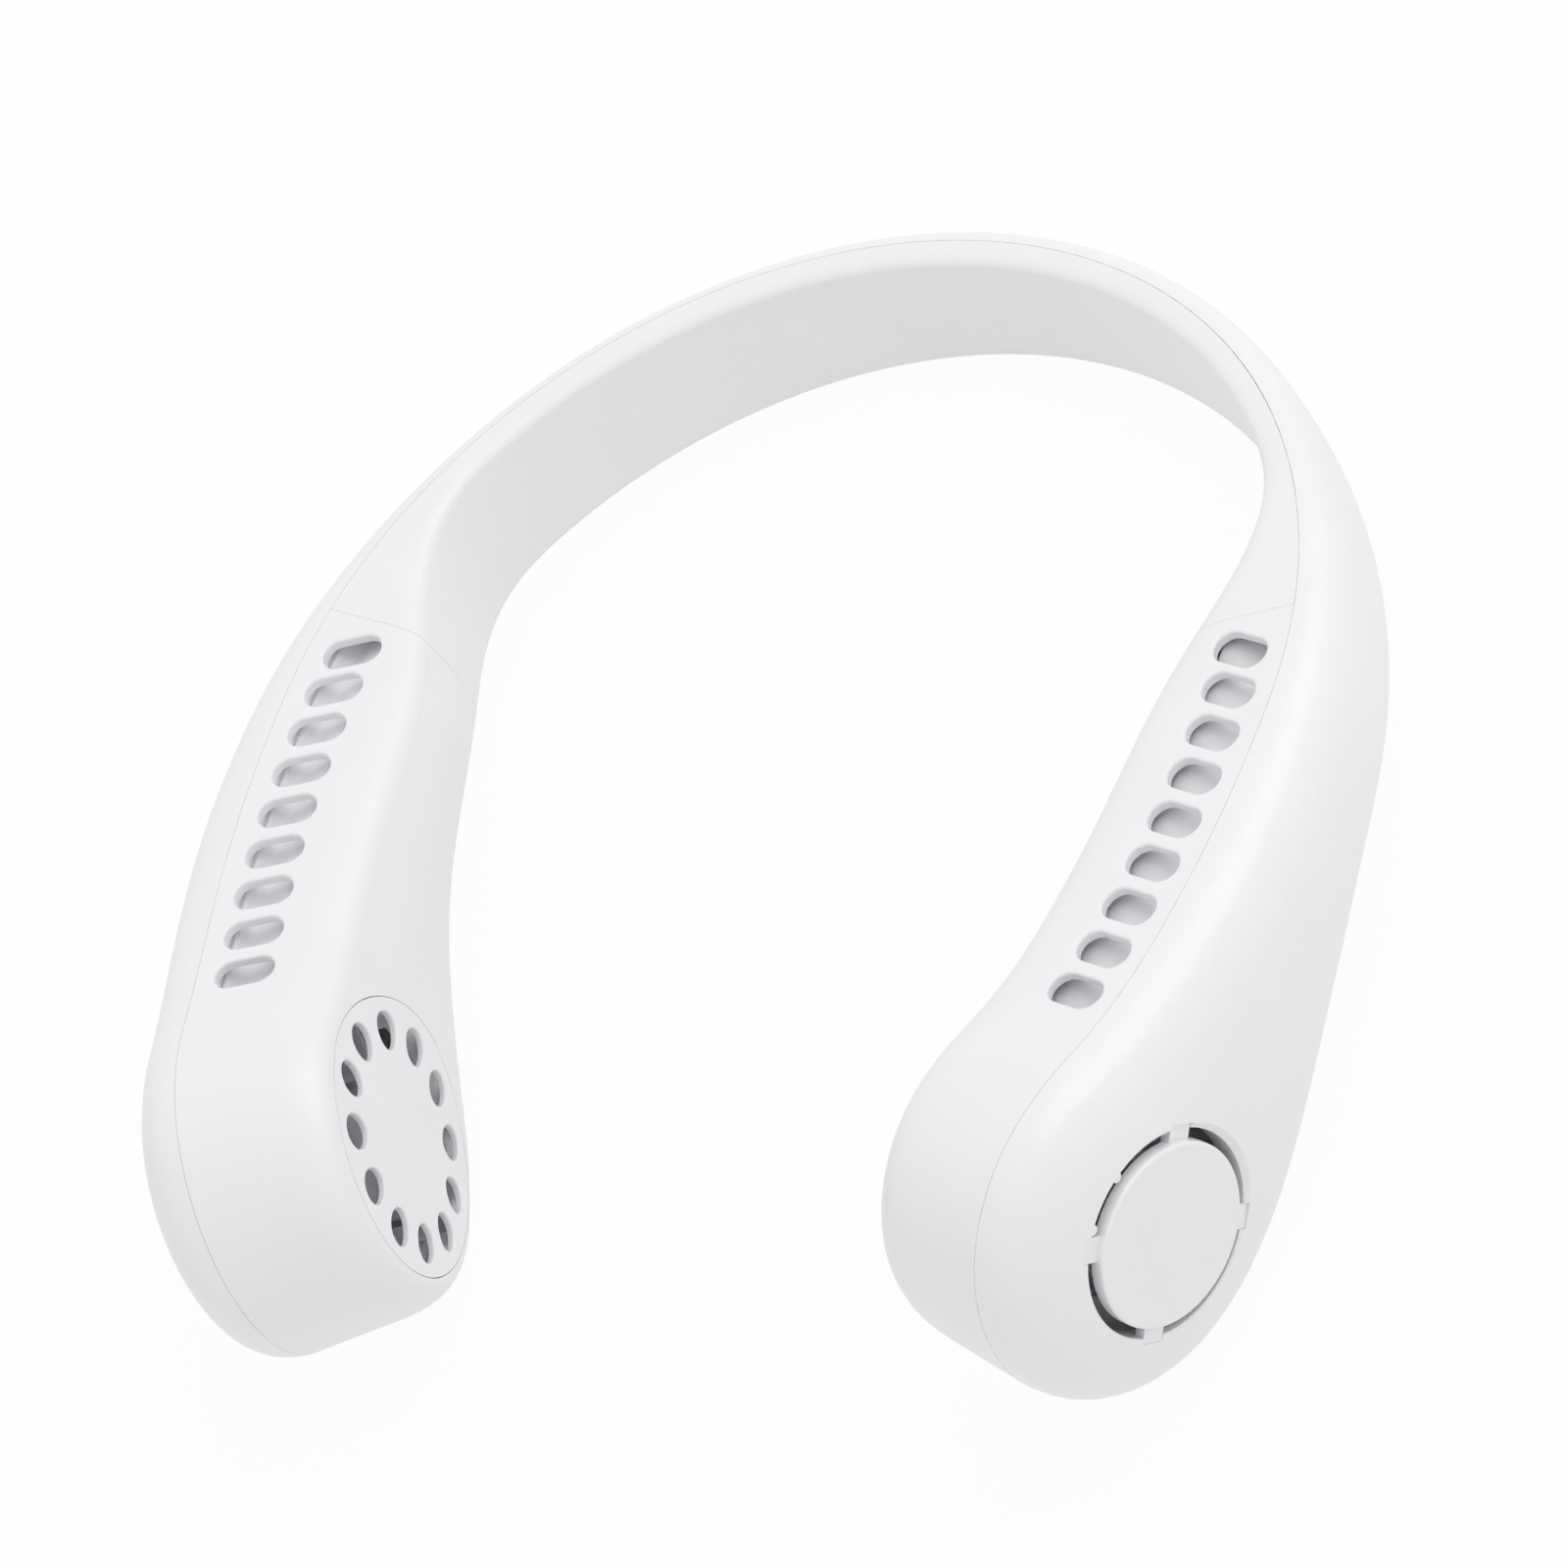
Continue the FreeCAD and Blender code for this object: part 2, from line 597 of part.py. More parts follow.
def intake_grille(full):
    """Crowned disc, thin inside its rim, with a ring of petal holes and snap legs that pass the ledge."""
    cutters = petals()
    disc = on_disc(rod(GRILLE_RADIUS - FIT_GAP, -INNER_REACH, GRILLE_SEAT)).common(full).cut(cutters)
    centre, tangent, normal = frame_at(0)
    level = GRILLE_THICKNESS / 2 - GRILLE_SEAT - centre.dot(normal)
    rims = [edge for cutter in cutters for edge in rim_edges(disc, cutter, normal * -1, level)]
    disc = disc.makeFillet(PETAL_RIM, rims)
    face = GRILLE_RADIUS - LEDGE_WIDTH - FIT_GAP
    inside_rim = on_disc(rod(face - LEG_WALL, -INNER_REACH, GRILLE_SEAT + OVERRUN))
    disc = disc.cut(inside_rim.common(sweep(GRILLE_WALL)))
    barb_start = GRILLE_SEAT + LEDGE_THICKNESS + FIT_GAP
    barb_end = barb_start + LEG_BARB_HEIGHT
    leg = block(LEG_WALL, LEG_WIDTH, GRILLE_SEAT - FIT_GAP, barb_end, face - LEG_WALL / 2)
    barb_length = LEG_WALL + LEG_BARB
    barb = block(barb_length, LEG_WIDTH, barb_start, barb_end, face + LEG_BARB - barb_length / 2)
    return disc.fuse([on_disc(copy) for copy in ring_of(leg.fuse(barb), LEG_COUNT, LEG_FIRST)])


def duct_plate(core, posts=()):
    """Wall along the arm, open at the fan wheel, with bosses for the bracket and posts for the board."""
    plate = tall_strip(-NOSE_REACH, PLATE_END, PLATE_OFFSET - PLATE_THICKNESS, PLATE_OFFSET).common(core)
    root = PLATE_OFFSET - PLATE_THICKNESS / 2
    boss = rod(BOSS_RADIUS, root, BRACKET_BASE, SCREW_RING)
    bosses = [on_disc(copy) for copy in ring_of(boss, BRACKET_ARMS, BRACKET_FIRST)]
    thread = rod(SCREW_RADIUS, -OVERRUN, OVERRUN, SCREW_RING)
    threads = [on_disc(copy) for copy in ring_of(thread, BRACKET_ARMS, BRACKET_FIRST)]
    hole = on_disc(rod(PLATE_HOLE_RADIUS, -OVERRUN, OVERRUN))
    solid = plate.fuse(bosses + [post for post, bore in posts])
    return solid.cut([hole] + threads + [bore for post, bore in posts])


def board_posts():
    """Posts of the plate under the board's screws, each with its bore."""
    root = PLATE_OFFSET - PLATE_THICKNESS / 2
    post = rod(BOSS_RADIUS, root, BOARD_BACK)
    bore = rod(SCREW_RADIUS, root - OVERRUN, BOARD_BACK + OVERRUN)
    return [(on_board(post, *place), on_board(bore, *place)) for place in board_screw_places()]


def motor_bracket():
    """Ring round the motor on three arms."""
    inner = MOTOR_RADIUS + SEAT_GAP
    ring = tube(inner + BRACKET_RING_WALL, inner, BRACKET_BASE, BRACKET_BASE + BRACKET_RING_HEIGHT)
    length = SCREW_RING - inner - BRACKET_RING_WALL / 2
    arm = block(length, BRACKET_ARM_WIDTH, BRACKET_BASE, BRACKET_TOP, SCREW_RING - length / 2)
    pad = rod(BRACKET_PAD_RADIUS, BRACKET_BASE, BRACKET_TOP, SCREW_RING)
    hole = rod(SCREW_RADIUS + FIT_GAP, -OVERRUN, OVERRUN, SCREW_RING)
    arms = ring_of(arm, BRACKET_ARMS, BRACKET_FIRST) + ring_of(pad, BRACKET_ARMS, BRACKET_FIRST)
    return on_disc(ring.fuse(arms).cut(ring_of(hole, BRACKET_ARMS, BRACKET_FIRST)))


def screw(tip, seat):
    """Pan-head screw on the Z axis, its head on the seat."""
    top = seat + SCREW_HEAD_HEIGHT
    head = rod(SCREW_HEAD_RADIUS, seat, top)
    socket = rod(SCREW_SOCKET_RADIUS, top - SCREW_SOCKET_DEPTH, top + OVERRUN)
    return head.cut(socket).fuse(rod(SCREW_RADIUS, tip, seat))


def bracket_screws():
    one = screw(PLATE_OFFSET - PLATE_THICKNESS, BRACKET_TOP)
    one.translate(Vector(SCREW_RING, 0, 0))
    return Part.Compound([on_disc(copy) for copy in ring_of(one, BRACKET_ARMS, BRACKET_FIRST)])


def motor_can():
    """Steel can with a seat for the bush and room for the shaft."""
    can = rod(MOTOR_RADIUS, MOTOR_FRONT, MOTOR_BACK)
    rim = [edge for edge in can.Edges if edge.BoundBox.ZMin > MOTOR_BACK - MOTOR_EDGE]
    can = can.makeFillet(MOTOR_EDGE, rim)
    seat_end = MOTOR_FRONT - BUSH_NOSE + BUSH_LENGTH
    seat = rod(BUSH_RADIUS, MOTOR_FRONT - OVERRUN, seat_end)
    room = rod(SHAFT_RADIUS + SHAFT_ROOM, seat_end - FIT_GAP, MOTOR_FRONT + SHAFT_TAIL + SHAFT_ROOM)
    return on_disc(can.cut([seat, room]))


def shaft_bush():
    start = MOTOR_FRONT - BUSH_NOSE
    return on_disc(tube(BUSH_RADIUS, SHAFT_RADIUS + RUNNING_GAP, start, start + BUSH_LENGTH))


def hub_front():
    """Inner end of the hub along the disc axis, past the middle of the wheel."""
    return (WHEEL_FRONT + WHEEL_BACK) / 2 - HUB_LENGTH / 2


def motor_shaft():
    return on_disc(rod(SHAFT_RADIUS, hub_front(), MOTOR_FRONT + SHAFT_TAIL))


def blade():
    """One curved blade of the wheel, its tip ahead of its root."""
    sides = []
    for lead in (0, BLADE_WALL):
        points = []
        for share, turned in ((0, 0), (HALF_SHARE, BLADE_BOW_SHARE), (1, 1)):
            radius = between(WHEEL_INNER_RADIUS, WHEEL_RADIUS - RIM_WALL / 2, share)
            angle = math.radians(BLADE_SWEEP * turned) + lead / radius
            points.append(Vector(radius * math.cos(angle), radius * math.sin(angle), WHEEL_FRONT))
        sides.append(points)
    front, back = sides
    outline = [
        Part.Arc(*front).toShape(),
        Part.LineSegment(front[-1], back[-1]).toShape(),
        Part.Arc(*reversed(back)).toShape(),
        Part.LineSegment(back[0], front[0]).toShape(),
    ]
    return Part.Face(Part.Wire(outline)).extrude(UP * (WHEEL_BACK - WHEEL_FRONT))


def impeller():
    """Fan wheel: web and hub in the middle, blades through it, a rim at each end."""
    middle = (WHEEL_FRONT + WHEEL_BACK) / 2
    web = rod(WHEEL_INNER_RADIUS + WEB_OVERLAP, middle - WEB_THICKNESS / 2, middle + WEB_THICKNESS / 2)
    hub = rod(HUB_RADIUS, hub_front(), hub_front() + HUB_LENGTH)
    rims = []
    for end in (WHEEL_FRONT, WHEEL_BACK - RIM_HEIGHT):
        rims.append(tube(WHEEL_RADIUS, WHEEL_RADIUS - RIM_WALL, end, end + RIM_HEIGHT))
    wheel = web.fuse([hub] + rims + ring_of(blade(), BLADE_COUNT))
    return on_disc(wheel.cut(rod(SHAFT_RADIUS, WHEEL_FRONT, WHEEL_BACK)))


def cell_height():
    """Middle of the arm's height at the battery cell."""
    return (top_edge(CELL_PLACE) + bottom_edge(CELL_PLACE)) / 2


def battery():
    """Flat cell with rounded ends and the taped terminal block on its band side."""
    cell = block(CELL_LENGTH, CELL_HEIGHT, 0, CELL_THICKNESS)
    upright = [edge for edge in cell.Edges if edge.BoundBox.ZLength > CELL_THICKNESS / 2]
    cell = cell.makeFillet(CELL_ROUND, upright)
    tab_middle = (CELL_LENGTH + TAB_LENGTH) / 2
    tab_back = (CELL_THICKNESS - TAB_THICKNESS) / 2
    tab = block(TAB_LENGTH, TAB_HEIGHT, tab_back, tab_back + TAB_THICKNESS, tab_middle)
    return standing(cell.fuse(tab), CELL_PLACE, CELL_BACK, cell_height())


def battery_pad():
    """Foam tape between the curved plate and the flat cell."""
    pad = block(CELL_LENGTH - 2 * PAD_MARGIN, CELL_HEIGHT - 2 * PAD_MARGIN, -OVERRUN, 0)
    pad = standing(pad, CELL_PLACE, CELL_BACK, cell_height())
    return pad.cut(tall_strip(-NOSE_REACH, PLATE_END, -INNER_REACH, PLATE_OFFSET + SEAT_GAP))


def board_screw_places():
    """Two opposite corners of the board, in the board's axes."""
    across = BOARD_LENGTH / 2 - BOARD_SCREW_MARGIN
    low = BOARD_INSET + BOARD_SCREW_MARGIN
    high = BOARD_INSET + BOARD_WIDTH - BOARD_SCREW_MARGIN
    return [(BOARD_SHIFT - across, high), (BOARD_SHIFT + across, low)]


def control_board():
    """Circuit board with its charging chip beside the switch."""
    middle = BOARD_INSET + BOARD_WIDTH / 2
    board = block(BOARD_LENGTH, BOARD_WIDTH, BOARD_BACK, BOARD_FRONT, BOARD_SHIFT, middle)
    chip_across = BOARD_SHIFT + BOARD_LENGTH / 2 - CHIP_SIDE
    chip = block(CHIP_SIDE, CHIP_SIDE, BOARD_FRONT, BOARD_FRONT + CHIP_HEIGHT, chip_across, KEY_UP)
    hole = rod(SCREW_RADIUS + FIT_GAP, BOARD_BACK - OVERRUN, BOARD_FRONT + OVERRUN)
    holes = [on_board(hole, *place) for place in board_screw_places()]
    return on_board(board.fuse(chip)).cut(holes)


def board_screws():
    one = screw(PLATE_OFFSET - PLATE_THICKNESS / 2, BOARD_FRONT)
    return Part.Compound([on_board(one, *place) for place in board_screw_places()])


def socket_prism(growth, start, end):
    """Slot-shaped prism of the charge socket, along Y, grown all round."""
    prism = lying(stadium(SOCKET_WIDTH + growth, SOCKET_HEIGHT + growth, start, end))
    prism.translate(UP * (BOARD_FRONT + SOCKET_HEIGHT / 2))
    return prism


def charge_socket():
    """Shell of the socket, closed at its back, with the contact tongue inside."""
    end = SOCKET_RECESS + SOCKET_LENGTH
    bore = socket_prism(-2 * SOCKET_WALL, SOCKET_RECESS - OVERRUN, end - SOCKET_WALL)
    shell = socket_prism(0, SOCKET_RECESS, end).cut(bore)
    tongue_start = SOCKET_RECESS + SOCKET_TONGUE_INSET
    tongue_middle = BOARD_FRONT + SOCKET_HEIGHT / 2
    tongue = block(SOCKET_TONGUE_WIDTH, end - tongue_start, tongue_middle - SOCKET_TONGUE / 2,
                   tongue_middle + SOCKET_TONGUE / 2, 0, (end + tongue_start) / 2)
    return on_board(shell.fuse(tongue.common(socket_prism(0, SOCKET_RECESS, end))))


def key_switch():
    body = block(SWITCH_SIDE, SWITCH_SIDE, BOARD_FRONT, SWITCH_TOP)
    well_depth = PLUNGER_DEPTH + BUTTON_TRAVEL + WELL_ROOM
    well = rod(PLUNGER_RADIUS + BUTTON_GAP, SWITCH_TOP - well_depth, SWITCH_TOP + OVERRUN)
    return on_board(body.cut(well), KEY_ACROSS, KEY_UP)


def key_plunger():
    return on_board(rod(PLUNGER_RADIUS, SWITCH_TOP - PLUNGER_DEPTH, PLUNGER_TOP), KEY_ACROSS, KEY_UP)


def power_button(full, core):
    """Round button whose face follows the shell, a flange behind the wall and a stem on the switch."""
    stem = on_board(rod(PLUNGER_RADIUS, PLUNGER_TOP, FLANGE_BACK + FIT_GAP), KEY_ACROSS, KEY_UP)
    flange = rod(BUTTON_RADIUS + BUTTON_FLANGE, FLANGE_BACK, OUTER_REACH)
    face = on_board(rod(BUTTON_RADIUS, FLANGE_BACK, OUTER_REACH), KEY_ACROSS, KEY_UP).common(full)
    face.translate(frame_at(PORT_PLACE)[2] * BUTTON_RISE)
    return stem.fuse([on_board(flange, KEY_ACROSS, KEY_UP).common(core), face])


def indicator_led():
    return on_board(block(LED_SIDE, LED_SIDE, BOARD_FRONT, BOARD_FRONT + LED_HEIGHT), LAMP_ACROSS, KEY_UP)


def indicator_lens(full):
    """Light pipe from the lamp to the outer face."""
    pipe = rod(LENS_RADIUS, BOARD_FRONT + LED_HEIGHT + SEAT_GAP, OUTER_REACH)
    return on_board(pipe, LAMP_ACROSS, KEY_UP).common(full)


def lead(start, end, out, height, radius):
    """Round lead that follows one arc of the path."""
    point, tangent, normal = frame_at(start)
    section = Part.Face(Part.Wire(Part.makeCircle(radius, spot(start, out, height), tangent)))
    arc_radius = ARM_RADIUS if end <= ARM_LENGTH else BAND_RADIUS
    turn = math.degrees((end - start) / arc_radius)
    return section.revolve(point - normal * arc_radius, UP, turn)


def band_cable():
    """Two-core lead through the band, from one cell to the other."""
    start = CELL_PLACE + CELL_LENGTH / 2 + TAB_LENGTH + FIT_GAP
    middle = (BAND_TOP + BAND_BOTTOM) / 2
    return lead(start, 2 * HALF_PATH - start, CABLE_OUT, middle, CABLE_RADIUS)


def motor_lead(end):
    """From the motor's ring along the plate."""
    ring = MOTOR_RADIUS + BRACKET_RING_WALL + CORE_GAP
    start = math.sqrt(ring ** 2 - MOTOR_LEAD_HEIGHT ** 2)
    return lead(start, end, PLATE_OFFSET + LEAD_RADIUS + SEAT_GAP, MOTOR_LEAD_HEIGHT, LEAD_RADIUS)


def cell_front():
    return CELL_PLACE - CELL_LENGTH / 2 - FIT_GAP


def battery_lead():
    """From the cell's front end to under the edge of the board."""
    out = PLATE_OFFSET + LEAD_RADIUS + SEAT_GAP
    return lead(cell_front() - LEAD_REACH, cell_front(), out, CELL_LEAD_HEIGHT, LEAD_RADIUS)


def board_edge():
    """Along the path, where the board's upper edge reaches the height of the motor lead."""
    slope = math.radians(edge_slope())
    up = BOARD_INSET + BOARD_WIDTH
    rise = MOTOR_LEAD_HEIGHT - bottom_edge(PORT_PLACE) - up * math.cos(slope)
    return PORT_PLACE - up * math.sin(slope) + rise / math.tan(slope)


def arm_pieces(full, hollow, lip):
    """Pieces that both arms have, as on the right arm."""
    return {
        "inner_housing": inner_housing(full, hollow, lip),
        "intake_grille": intake_grille(full),
        "outer_cap": outer_cap(),
        "impeller": impeller(),
        "motor_shaft": motor_shaft(),
        "motor_can": motor_can(),
        "shaft_bush": shaft_bush(),
        "motor_bracket": motor_bracket(),
        "bracket_screws": bracket_screws(),
        "battery": battery(),
        "battery_pad": battery_pad(),
    }


def left_pieces(full, core):
    """Pieces that only the left arm has, as if on the right arm."""
    return {
        "left_duct_plate": duct_plate(core, board_posts()),
        "control_board": control_board(),
        "board_screws": board_screws(),
        "charge_socket": charge_socket(),
        "key_switch": key_switch(),
        "key_plunger": key_plunger(),
        "power_button": power_button(full, core),
        "indicator_led": indicator_led(),
        "indicator_lens": indicator_lens(full),
        "left_motor_lead": motor_lead(board_edge() + LEAD_REACH),
        "left_battery_lead": battery_lead(),
    }


def all_pieces():
    full = sweep(0)
    hollow = full.cut(sweep(WALL))
    core = sweep(WALL + CORE_GAP)
    lip = seam_lip()
    half = outer_half(full, hollow)
    pieces = {
        "outer_shell": both_halves(half, half.cut(control_cutters())),
        "neck_band_liner": neck_band_liner(hollow, lip),
        "right_duct_plate": duct_plate(core),
        "right_motor_lead": motor_lead(cell_front()),
        "band_cable": band_cable(),
    }
    for name, shape in arm_pieces(full, hollow, lip).items():
        pieces["right_" + name] = shape
        pieces["left_" + name] = mirrored(shape)
    for name, shape in left_pieces(full, core).items():
        pieces[name] = mirrored(shape)
    return pieces


def rest_placement(pieces):
    """Lay the fan on its two discs and the band, with the middle of its footprint at the origin."""
    tilt = math.atan2(DISC_RADIUS + BAND_BOTTOM, BAND_CENTRE + BAND_RADIUS)
    laid = FreeCAD.Placement(ORIGIN, FreeCAD.Rotation(MIRROR_NORMAL, -math.degrees(tilt)))
    outside = [pieces[name].copy() for name in ("outer_shell", "right_inner_housing", "left_inner_housing")]
    for shape in outside:
        shape.Placement = laid * shape.Placement
    box = Part.Compound(outside).optimalBoundingBox()
    centre = Vector(box.Center.x, box.Center.y, box.ZMin)
    return FreeCAD.Placement(centre * -1, laid.Rotation)


def main():
    os.makedirs("parts", exist_ok=True)
    pieces = all_pieces()
    rest = rest_placement(pieces)
    for name, shape in pieces.items():
        solids = Part.Compound(shape.Solids) if len(shape.Solids) > 1 else shape.Solids[0]
        solids.Placement = rest * solids.Placement
        solids.exportStep("parts/" + name + ".step")
        print(name, len(shape.Solids), shape.isValid(), round(shape.Volume, 1))


main()
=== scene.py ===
# %% [markdown]
# # An electric neck fan in white plastic
# The fan lies round the neck: two hollow arms with a fan wheel in each end, and a slim band behind the
# neck that joins them. Every piece was already drawn at its real size, so the first step only loads
# that model. Blender's share is the finish: smooth surfaces, real materials and soft studio light.

# %% Load the frame
import json
import math
import bpy
import bmesh
from mathutils import Matrix, Vector


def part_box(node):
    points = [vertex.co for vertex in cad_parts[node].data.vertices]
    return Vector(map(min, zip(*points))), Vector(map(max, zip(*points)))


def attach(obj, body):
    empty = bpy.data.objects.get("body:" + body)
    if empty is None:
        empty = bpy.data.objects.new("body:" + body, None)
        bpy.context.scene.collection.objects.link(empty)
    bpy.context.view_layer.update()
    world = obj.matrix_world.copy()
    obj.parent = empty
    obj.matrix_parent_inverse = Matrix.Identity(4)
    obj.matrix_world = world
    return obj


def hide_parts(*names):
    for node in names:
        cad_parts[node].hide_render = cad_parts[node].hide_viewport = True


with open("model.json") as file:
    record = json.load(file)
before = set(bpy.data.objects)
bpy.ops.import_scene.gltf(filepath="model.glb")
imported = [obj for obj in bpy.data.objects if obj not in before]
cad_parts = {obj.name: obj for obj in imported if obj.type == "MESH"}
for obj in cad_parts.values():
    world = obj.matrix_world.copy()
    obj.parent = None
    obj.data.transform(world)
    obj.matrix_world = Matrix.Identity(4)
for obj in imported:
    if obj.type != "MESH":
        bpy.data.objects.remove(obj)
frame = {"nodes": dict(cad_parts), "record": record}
nodes = frame["nodes"]
scene = bpy.context.scene
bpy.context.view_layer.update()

# %% [markdown]
# ## Two small helpers
# Colours are easiest to read as the hex values of a picture, but a shader wants linear light, so one
# function turns one into the other. Materials are built of nodes: the second helper adds one node, sets
# its own options and fills its inputs, each with a value or with the output of an earlier node.

# %% Colour and node helpers
MM = 0.001


def linear(hex_colour):
    """The linear red, green, blue and alpha of an sRGB hex colour."""
    channels = [int(hex_colour[place:place + 2], 16) / 255 for place in (1, 3, 5)]
    curve = [c / 12.92 if c <= 0.04045 else ((c + 0.055) / 1.055) ** 2.4 for c in channels]
    return (*curve, 1.0)


def add_node(tree, kind, inputs, **settings):
    """A new node; inputs are values or sockets by the input's name or number."""
    node = tree.nodes.new(kind)
    for name, value in settings.items():
        setattr(node, name, value)
    for name, value in inputs.items():
        if isinstance(value, bpy.types.NodeSocket):
            tree.links.new(value, node.inputs[name])
        else:
            node.inputs[name].default_value = value
    return node


print("mid grey #808080 is", round(linear("#808080")[0], 3), "in linear light")

# %% [markdown]
# ## The camera
# The fan is seen from above and from its right side, with a long lens, so far lines hardly converge.
# The product floats tilted in its picture, so the camera is rolled by that tilt and the fan stays
# standing on its floor. A camera looks along its own -Z axis, which gives the order of the columns.

# %% Camera
VIEW_HEADING = math.radians(-55.66)
VIEW_DROP = math.radians(49.44)
VIEW_ROLL = math.radians(-47.6)
VIEW_DISTANCE = 1238.5 * MM
VIEW_POINT = Vector((-6.4, 2.4, 18.0)) * MM
LENS_MM = 193.4
SENSOR_MM = 36.0


def view_axes(heading, drop, roll):
    """Right, up and backward of a camera that looks along a heading from +Y, downwards by drop."""
    level = math.cos(drop)
    forward = Vector((math.sin(heading) * level, math.cos(heading) * level, -math.sin(drop)))
    right = Matrix.Rotation(-roll, 3, forward) @ forward.cross(Vector((0, 0, 1))).normalized()
    return right, right.cross(forward), -forward


axes = view_axes(VIEW_HEADING, VIEW_DROP, VIEW_ROLL)
turned = Matrix(axes).transposed().to_4x4()
lens = bpy.data.cameras.new("photo_camera")
lens.lens = LENS_MM
lens.sensor_width = SENSOR_MM
camera = bpy.data.objects.new("photo_camera", lens)
camera.matrix_world = Matrix.Translation(VIEW_POINT + axes[2] * VIEW_DISTANCE) @ turned
scene.collection.objects.link(camera)
scene.camera = camera
print("camera at", [round(c, 3) for c in camera.matrix_world.translation], "m")

# %% [markdown]
# ## Floor and light
# A white product on white needs light that wraps round it. A bright, even world does most of the work,
# and one large soft box high above lifts what faces up, so that each form has a lit and a shaded side.
# The floor is plain white to the camera, yet it still takes the fan's shadow, because only a share of
# it glows. White plastic passes light on many times before it fades, so in the hollows behind the
# grilles the light may bounce more often than usual.

# %% White floor
scene.view_settings.view_transform = "Standard"
FLOOR_SIZE = 6.0
FLOOR_GLOW_SHARE = 0.93


def seen_directly(tree):
    """A socket that is 1 for rays that show the background: straight, mirrored or through glass."""
    path = add_node(tree, "ShaderNodeLightPath", {})
    seen = path.outputs["Is Camera Ray"]
    for kind in ("Is Glossy Ray", "Is Transmission Ray"):
        either = add_node(tree, "ShaderNodeMath", {0: seen, 1: path.outputs[kind]}, operation="MAXIMUM")
        seen = either.outputs[0]
    return seen


def white_paper():
    """Matt white paper that glows to the camera, so that it shows as white and still takes a shadow."""
    paper = bpy.data.materials.new("white_paper")
    paper.use_nodes = True
    tree = paper.node_tree
    tree.nodes.clear()
    fibre = add_node(tree, "ShaderNodeBsdfDiffuse", {"Color": linear("#F4F4F4")})
    glow = add_node(tree, "ShaderNodeEmission", {"Color": linear("#FFFFFF"), "Strength": 1.0})
    share = add_node(tree, "ShaderNodeMath", {
        0: seen_directly(tree), 1: FLOOR_GLOW_SHARE}, operation="MULTIPLY")
    mix = add_node(tree, "ShaderNodeMixShader", {
        0: share.outputs[0], 1: fibre.outputs[0], 2: glow.outputs[0]})
    add_node(tree, "ShaderNodeOutputMaterial", {"Surface": mix.outputs[0]})
    return paper


floor_form = bmesh.new()
bmesh.ops.create_grid(floor_form, x_segments=1, y_segments=1, size=FLOOR_SIZE / 2)
floor_mesh = bpy.data.meshes.new("floor")
floor_form.to_mesh(floor_mesh)
floor_form.free()
floor_mesh.materials.append(white_paper())
floor = bpy.data.objects.new("floor", floor_mesh)
scene.collection.objects.link(floor)
print("white floor of", FLOOR_SIZE, "m")

# %% World and soft box
WORLD_STRENGTH = 0.8
BOX_PLACE = Vector((0.42, 0.5, 1.0))
BOX_SIZE = 0.9
BOX_WATTS = 3.9
WHITE_BOUNCES = 16
ALL_BOUNCES = 24

scene.cycles.diffuse_bounces = WHITE_BOUNCES
scene.cycles.max_bounces = ALL_BOUNCES
world = bpy.data.worlds.new("studio")
world.use_nodes = True
scene.world = world
sky = world.node_tree
sky.nodes.clear()
even = add_node(sky, "ShaderNodeBackground", {"Color": linear("#FFFFFF"), "Strength": WORLD_STRENGTH})
white = add_node(sky, "ShaderNodeBackground", {"Color": linear("#FFFFFF"), "Strength": 1.0})
choice = add_node(sky, "ShaderNodeMixShader", {
    0: seen_directly(sky), 1: even.outputs[0], 2: white.outputs[0]})
add_node(sky, "ShaderNodeOutputWorld", {"Surface": choice.outputs[0]})

lamp = bpy.data.lights.new("overhead_soft_box", "AREA")
lamp.size = BOX_SIZE
lamp.energy = BOX_WATTS
soft_box = bpy.data.objects.new("overhead_soft_box", lamp)
aim = (BOX_PLACE - VIEW_POINT).to_track_quat("Z", "Y").to_matrix().to_4x4()
soft_box.matrix_world = Matrix.Translation(BOX_PLACE) @ aim
scene.collection.objects.link(soft_box)
print("one soft box of", BOX_SIZE, "m")

# %% [markdown]
# ## Moulded ABS
# The shells are injection-moulded ABS: opaque, faintly cool white, with a fine satin grain that the
# mould's spark-eroded steel leaves. That grain is about a tenth of a millimetre, too fine for a picture
# of the whole fan, so it is drawn three times as coarse and kept very shallow. A slow drift in the
# colour and in the gloss stands for the flow of the plastic in the mould. The plates inside are the
# same white plastic with a rougher, duller surface, and their colour is a touch paler than the shells'
# as painted light, so that the shaded hollows behind the slots read lighter. The fan wheels are a shade
# greyer, and the switch is black.

# %% Moulded ABS
GRAIN_MM = 0.3
GRAIN_HEIGHT_MM = 0.02
FLOW_MM = 14.0
GLOSS_DRIFT = 0.05
ABS_IOR = 1.53


def per_metre(pattern_mm):
    """The texture scale that makes a pattern about this many millimetres wide."""
    return 1 / (pattern_mm * MM)


def new_material(name):
    """An empty node material and its Object coordinates."""
    material = bpy.data.materials.new(name)
    material.use_nodes = True
    tree = material.node_tree
    tree.nodes.clear()
    return material, tree, add_node(tree, "ShaderNodeTexCoord", {}).outputs["Object"]


def blend_colours(tree, share, first, second):
    """Two hex colours, mixed by a socket between 0 and 1."""
    ends = {"Factor": share, 6: linear(first), 7: linear(second)}
    return add_node(tree, "ShaderNodeMix", ends, data_type="RGBA").outputs[2]


